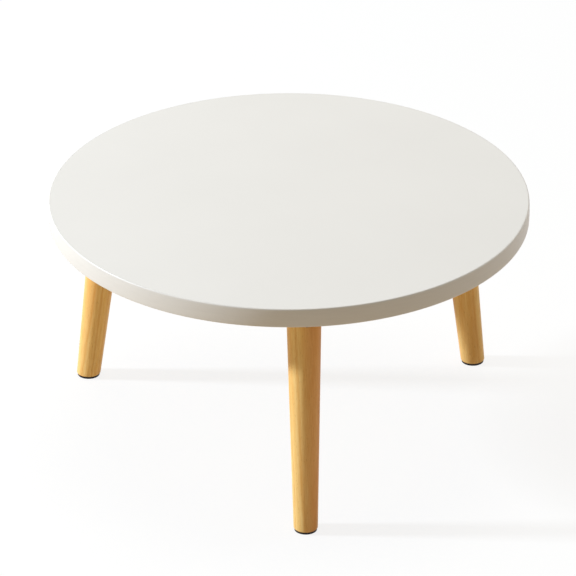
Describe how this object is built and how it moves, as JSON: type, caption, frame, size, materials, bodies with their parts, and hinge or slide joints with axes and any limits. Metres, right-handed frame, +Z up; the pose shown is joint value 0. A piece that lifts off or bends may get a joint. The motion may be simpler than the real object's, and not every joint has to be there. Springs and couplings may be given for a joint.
{
  "type": "folding low table",
  "caption": "Round white low table on splayed, tapered wooden legs that fold flat under the top on hidden steel brackets.",
  "frame": {"origin": "on the floor under the middle of the round top", "axes": "+Z up; -Y towards the front leg; +X to the right seen from the front"},
  "size_m": [0.5999, 0.6, 0.314],
  "materials": {
    "core_board": "bare particle board",
    "white_facing": "smooth satin white melamine",
    "white_edging": "smooth satin white",
    "plated_steel": "pressed and zinc plated",
    "screw_steel": "zinc plated",
    "pin_steel": "bright turned",
    "washer_steel": "sprung, oiled",
    "spring_steel": "blued spring leaf",
    "cast_zinc": "die cast, satin grey lacquer",
    "bolt_steel": "zinc plated",
    "insert_brass": "turned brass",
    "leg_wood": "turned, clear satin lacquer",
    "glide_black": "moulded black, fine grain",
    "nail_steel": "plain"
  },
  "bodies": {
    "tabletop": {"top_core": "core_board", "top_facing": "white_facing", "underside_facing": "white_facing", "edge_band": "white_edging", "base_plate_1": "plated_steel", "base_screws_1": "screw_steel", "hinge_pin_1": "pin_steel", "friction_washers_1": "washer_steel", "catch_spring_1": "spring_steel", "catch_rivets_1": "pin_steel", "base_plate_2": "plated_steel", "base_screws_2": "screw_steel", "hinge_pin_2": "pin_steel", "friction_washers_2": "washer_steel", "catch_spring_2": "spring_steel", "catch_rivets_2": "pin_steel", "base_plate_3": "plated_steel", "base_screws_3": "screw_steel", "hinge_pin_3": "pin_steel", "friction_washers_3": "washer_steel", "catch_spring_3": "spring_steel", "catch_rivets_3": "pin_steel"},
    "leg_1_body": {"swing_head_1": "cast_zinc", "leg_bolt_1": "bolt_steel", "leg_insert_1": "insert_brass", "locating_pin_1": "pin_steel", "leg_1": "leg_wood", "foot_glide_1": "glide_black", "glide_nail_1": "nail_steel"},
    "leg_2_body": {"swing_head_2": "cast_zinc", "leg_bolt_2": "bolt_steel", "leg_insert_2": "insert_brass", "locating_pin_2": "pin_steel", "leg_2": "leg_wood", "foot_glide_2": "glide_black", "glide_nail_2": "nail_steel"},
    "leg_3_body": {"swing_head_3": "cast_zinc", "leg_bolt_3": "bolt_steel", "leg_insert_3": "insert_brass", "locating_pin_3": "pin_steel", "leg_3": "leg_wood", "foot_glide_3": "glide_black", "glide_nail_3": "nail_steel"}
  },
  "joints": [
    {"name": "leg_1_fold", "type": "hinge", "parent": "tabletop", "child": "leg_1_body", "pos_m": [-0.00699, -0.22392, 0.28], "axis": [0.9659, 0.2588, 0], "range_deg": [0, 97], "deforming": ["catch_spring_1"]},
    {"name": "leg_2_fold", "type": "hinge", "parent": "tabletop", "child": "leg_2_body", "pos_m": [0.19741, 0.10591, 0.28], "axis": [-0.7071, 0.7071, 0], "range_deg": [0, 97], "deforming": ["catch_spring_2"]},
    {"name": "leg_3_fold", "type": "hinge", "parent": "tabletop", "child": "leg_3_body", "pos_m": [-0.19043, 0.11801, 0.28], "axis": [-0.2588, -0.9659, 0], "range_deg": [0, 97], "deforming": ["catch_spring_3"]}
  ]
}
